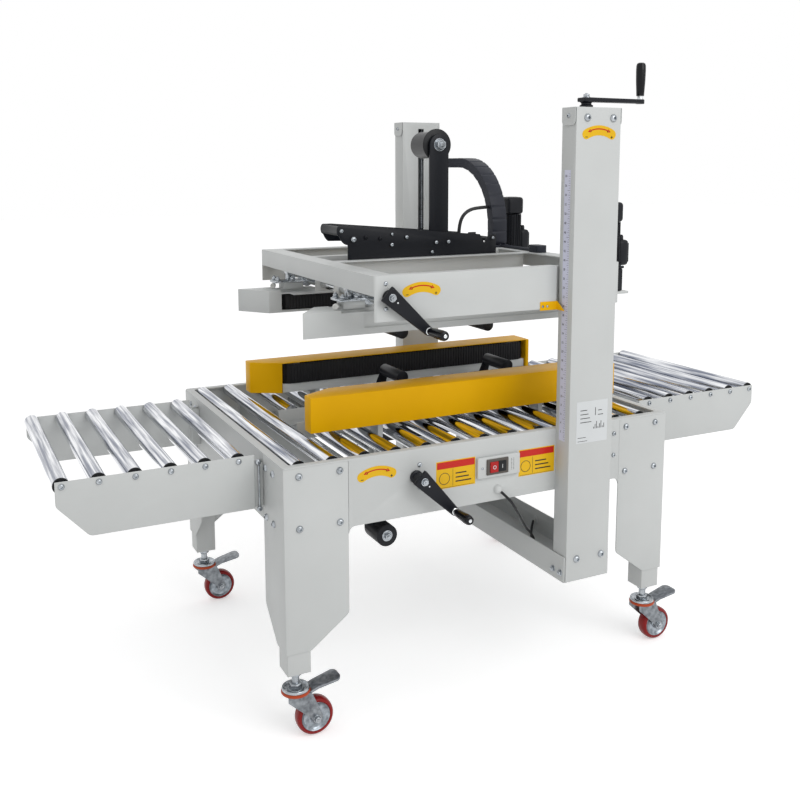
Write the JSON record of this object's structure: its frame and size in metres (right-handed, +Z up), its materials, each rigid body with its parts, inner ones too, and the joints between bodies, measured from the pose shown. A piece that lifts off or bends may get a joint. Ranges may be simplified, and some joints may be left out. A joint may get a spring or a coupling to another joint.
{
  "type": "carton sealer",
  "caption": "Case taping machine: roller bed with side drive belts, crank-raised head with a tape cartridge on two masts, roller extensions and swivel casters.",
  "frame": {"origin": "on the floor, under the centre of the bed", "axes": "+X along the conveyor towards the masts and the outfeed end, +Y from the operator's side to the rear, +Z up"},
  "size_m": [1.778, 0.907, 1.384],
  "materials": {
    "cream_paint": "satin powder coat",
    "yellow_paint": "satin powder coat",
    "black_paint": "satin powder coat",
    "chrome": "polished",
    "zinc_steel": "zinc plated",
    "black_rubber": "ribbed",
    "black_plastic": "moulded",
    "red_wheel": "polyurethane tread"
  },
  "bodies": {
    "base": {"bed_frame": "cream_paint", "bed_rails": "cream_paint", "bed_rollers": "chrome", "guide_rods": "chrome", "legs": "cream_paint", "leg_tubes": "cream_paint", "caster_stems": "zinc_steel", "left_extension_frame": "cream_paint", "right_extension_frame": "cream_paint", "front_mast": "cream_paint", "rear_mast": "cream_paint", "cross_channel": "cream_paint", "lower_tape_head": "black_paint", "switch_box": "black_plastic", "mains_cable": "black_rubber"},
    "lift_crank": {"lift_crank": "black_plastic"},
    "rear_lift_screw": {"rear_lift_screw": "zinc_steel"},
    "head": {"head_frame": "cream_paint", "cartridge_rails": "cream_paint", "head_slide_rods": "chrome", "head_carriages": "zinc_steel", "tape_cartridge": "black_paint", "reel_arm": "black_paint", "cable_chain": "black_plastic", "head_hose": "black_rubber"},
    "bed_crank": {"bed_crank": "black_plastic"},
    "head_crank": {"head_crank": "black_plastic"},
    "tape_core": {"tape_core": "black_plastic"},
    "near_belt_unit": {"near_belt_cover": "yellow_paint", "near_drive_belt": "black_rubber", "near_belt_carriage": "zinc_steel"},
    "near_upper_unit": {"near_upper_housing": "cream_paint", "near_upper_belt": "black_rubber", "near_upper_motor": "black_paint"},
    "far_belt_unit": {"far_belt_cover": "yellow_paint", "far_drive_belt": "black_rubber", "far_belt_carriage": "zinc_steel"},
    "far_upper_unit": {"far_upper_housing": "cream_paint", "far_upper_belt": "black_rubber", "far_upper_motor": "black_paint"},
    "left_extension_roller_1": {"left_extension_roller_1": "chrome"},
    "left_extension_roller_2": {"left_extension_roller_2": "chrome"},
    "left_extension_roller_3": {"left_extension_roller_3": "chrome"},
    "left_extension_roller_4": {"left_extension_roller_4": "chrome"},
    "left_extension_roller_5": {"left_extension_roller_5": "chrome"},
    "left_extension_roller_6": {"left_extension_roller_6": "chrome"},
    "right_extension_roller_1": {"right_extension_roller_1": "chrome"},
    "right_extension_roller_2": {"right_extension_roller_2": "chrome"},
    "right_extension_roller_3": {"right_extension_roller_3": "chrome"},
    "right_extension_roller_4": {"right_extension_roller_4": "chrome"},
    "right_extension_roller_5": {"right_extension_roller_5": "chrome"},
    "right_extension_roller_6": {"right_extension_roller_6": "chrome"},
    "front_left_caster": {"front_left_caster_fork": "zinc_steel"},
    "front_left_wheel": {"front_left_caster_wheel": "red_wheel"},
    "front_right_caster": {"front_right_caster_fork": "zinc_steel"},
    "front_right_wheel": {"front_right_caster_wheel": "red_wheel"},
    "rear_left_caster": {"rear_left_caster_fork": "zinc_steel"},
    "rear_left_wheel": {"rear_left_caster_wheel": "red_wheel"},
    "rear_right_caster": {"rear_right_caster_fork": "zinc_steel"},
    "rear_right_wheel": {"rear_right_caster_wheel": "red_wheel"}
  },
  "joints": [
    {"name": "head_lift", "type": "slide", "parent": "base", "child": "head", "axis": [0, 0, 1], "range_m": [-0.07, 0.28]},
    {"name": "lift_crank_turn", "type": "hinge", "parent": "base", "child": "lift_crank", "pos_m": [0.2045, -0.4025, 1.306], "axis": [0, 0, 1], "range_deg": [-5041, 20161]},
    {"name": "rear_screw_turn", "type": "hinge", "parent": "base", "child": "rear_lift_screw", "pos_m": [0.2355, 0.4025, 1.2], "axis": [0, 0, 1], "range_deg": [-5041, 20161]},
    {"name": "near_belt_slide", "type": "slide", "parent": "base", "child": "near_belt_unit", "axis": [0, -1, 0], "range_m": [-0.06, 0.1]},
    {"name": "far_belt_slide", "type": "slide", "parent": "base", "child": "far_belt_unit", "axis": [0, 1, 0], "range_m": [-0.06, 0.1]},
    {"name": "near_upper_slide", "type": "slide", "parent": "head", "child": "near_upper_unit", "axis": [0, -1, 0], "range_m": [-0.06, 0.1]},
    {"name": "far_upper_slide", "type": "slide", "parent": "head", "child": "far_upper_unit", "axis": [0, 1, 0], "range_m": [-0.06, 0.1]},
    {"name": "bed_crank_turn", "type": "hinge", "parent": "base", "child": "bed_crank", "pos_m": [-0.19, -0.38, 0.524], "axis": [0, 1, 0], "range_deg": [-4321, 7201]},
    {"name": "head_crank_turn", "type": "hinge", "parent": "head", "child": "head_crank", "pos_m": [-0.252, -0.38, 0.904], "axis": [0, 1, 0], "range_deg": [-4321, 7201]},
    {"name": "tape_core_spin", "type": "hinge", "parent": "head", "child": "tape_core", "pos_m": [0.046, 0, 1.212], "axis": [0, 1, 0], "continuous": true},
    {"name": "left_extension_roller_1_spin", "type": "hinge", "parent": "base", "child": "left_extension_roller_1", "pos_m": [-0.873, 0, 0.5715], "axis": [0, 1, 0], "continuous": true},
    {"name": "left_extension_roller_2_spin", "type": "hinge", "parent": "base", "child": "left_extension_roller_2", "pos_m": [-0.8048, 0, 0.5715], "axis": [0, 1, 0], "continuous": true},
    {"name": "left_extension_roller_3_spin", "type": "hinge", "parent": "base", "child": "left_extension_roller_3", "pos_m": [-0.7366, 0, 0.5715], "axis": [0, 1, 0], "continuous": true},
    {"name": "left_extension_roller_4_spin", "type": "hinge", "parent": "base", "child": "left_extension_roller_4", "pos_m": [-0.6684, 0, 0.5715], "axis": [0, 1, 0], "continuous": true},
    {"name": "left_extension_roller_5_spin", "type": "hinge", "parent": "base", "child": "left_extension_roller_5", "pos_m": [-0.6002, 0, 0.5715], "axis": [0, 1, 0], "continuous": true},
    {"name": "left_extension_roller_6_spin", "type": "hinge", "parent": "base", "child": "left_extension_roller_6", "pos_m": [-0.532, 0, 0.5715], "axis": [0, 1, 0], "continuous": true},
    {"name": "right_extension_roller_1_spin", "type": "hinge", "parent": "base", "child": "right_extension_roller_1", "pos_m": [0.873, 0, 0.5715], "axis": [0, 1, 0], "continuous": true},
    {"name": "right_extension_roller_2_spin", "type": "hinge", "parent": "base", "child": "right_extension_roller_2", "pos_m": [0.8048, 0, 0.5715], "axis": [0, 1, 0], "continuous": true},
    {"name": "right_extension_roller_3_spin", "type": "hinge", "parent": "base", "child": "right_extension_roller_3", "pos_m": [0.7366, 0, 0.5715], "axis": [0, 1, 0], "continuous": true},
    {"name": "right_extension_roller_4_spin", "type": "hinge", "parent": "base", "child": "right_extension_roller_4", "pos_m": [0.6684, 0, 0.5715], "axis": [0, 1, 0], "continuous": true},
    {"name": "right_extension_roller_5_spin", "type": "hinge", "parent": "base", "child": "right_extension_roller_5", "pos_m": [0.6002, 0, 0.5715], "axis": [0, 1, 0], "continuous": true},
    {"name": "right_extension_roller_6_spin", "type": "hinge", "parent": "base", "child": "right_extension_roller_6", "pos_m": [0.532, 0, 0.5715], "axis": [0, 1, 0], "continuous": true},
    {"name": "front_left_swivel", "type": "hinge", "parent": "base", "child": "front_left_caster", "pos_m": [-0.4515, -0.3495, 0.11], "axis": [0, 0, 1], "continuous": true},
    {"name": "front_left_wheel_spin", "type": "hinge", "parent": "front_left_caster", "child": "front_left_wheel", "pos_m": [-0.4125, -0.3495, 0.04], "axis": [0, 1, 0], "continuous": true},
    {"name": "front_right_swivel", "type": "hinge", "parent": "base", "child": "front_right_caster", "pos_m": [0.4515, -0.3495, 0.11], "axis": [0, 0, 1], "continuous": true},
    {"name": "front_right_wheel_spin", "type": "hinge", "parent": "front_right_caster", "child": "front_right_wheel", "pos_m": [0.4905, -0.3495, 0.04], "axis": [0, 1, 0], "continuous": true},
    {"name": "rear_left_swivel", "type": "hinge", "parent": "base", "child": "rear_left_caster", "pos_m": [-0.4515, 0.3495, 0.11], "axis": [0, 0, 1], "continuous": true},
    {"name": "rear_left_wheel_spin", "type": "hinge", "parent": "rear_left_caster", "child": "rear_left_wheel", "pos_m": [-0.4125, 0.3495, 0.04], "axis": [0, 1, 0], "continuous": true},
    {"name": "rear_right_swivel", "type": "hinge", "parent": "base", "child": "rear_right_caster", "pos_m": [0.4515, 0.3495, 0.11], "axis": [0, 0, 1], "continuous": true},
    {"name": "rear_right_wheel_spin", "type": "hinge", "parent": "rear_right_caster", "child": "rear_right_wheel", "pos_m": [0.4905, 0.3495, 0.04], "axis": [0, 1, 0], "continuous": true}
  ],
  "couplings": [
    {"joint": "lift_crank_turn", "follows": "head_lift", "rad_per_m": 1256.6},
    {"joint": "rear_screw_turn", "follows": "head_lift", "rad_per_m": 1256.6},
    {"joint": "far_belt_slide", "follows": "near_belt_slide", "ratio": 1},
    {"joint": "far_upper_slide", "follows": "near_upper_slide", "ratio": 1},
    {"joint": "bed_crank_turn", "follows": "near_belt_slide", "rad_per_m": 1256.6},
    {"joint": "head_crank_turn", "follows": "near_upper_slide", "rad_per_m": 1256.6}
  ]
}
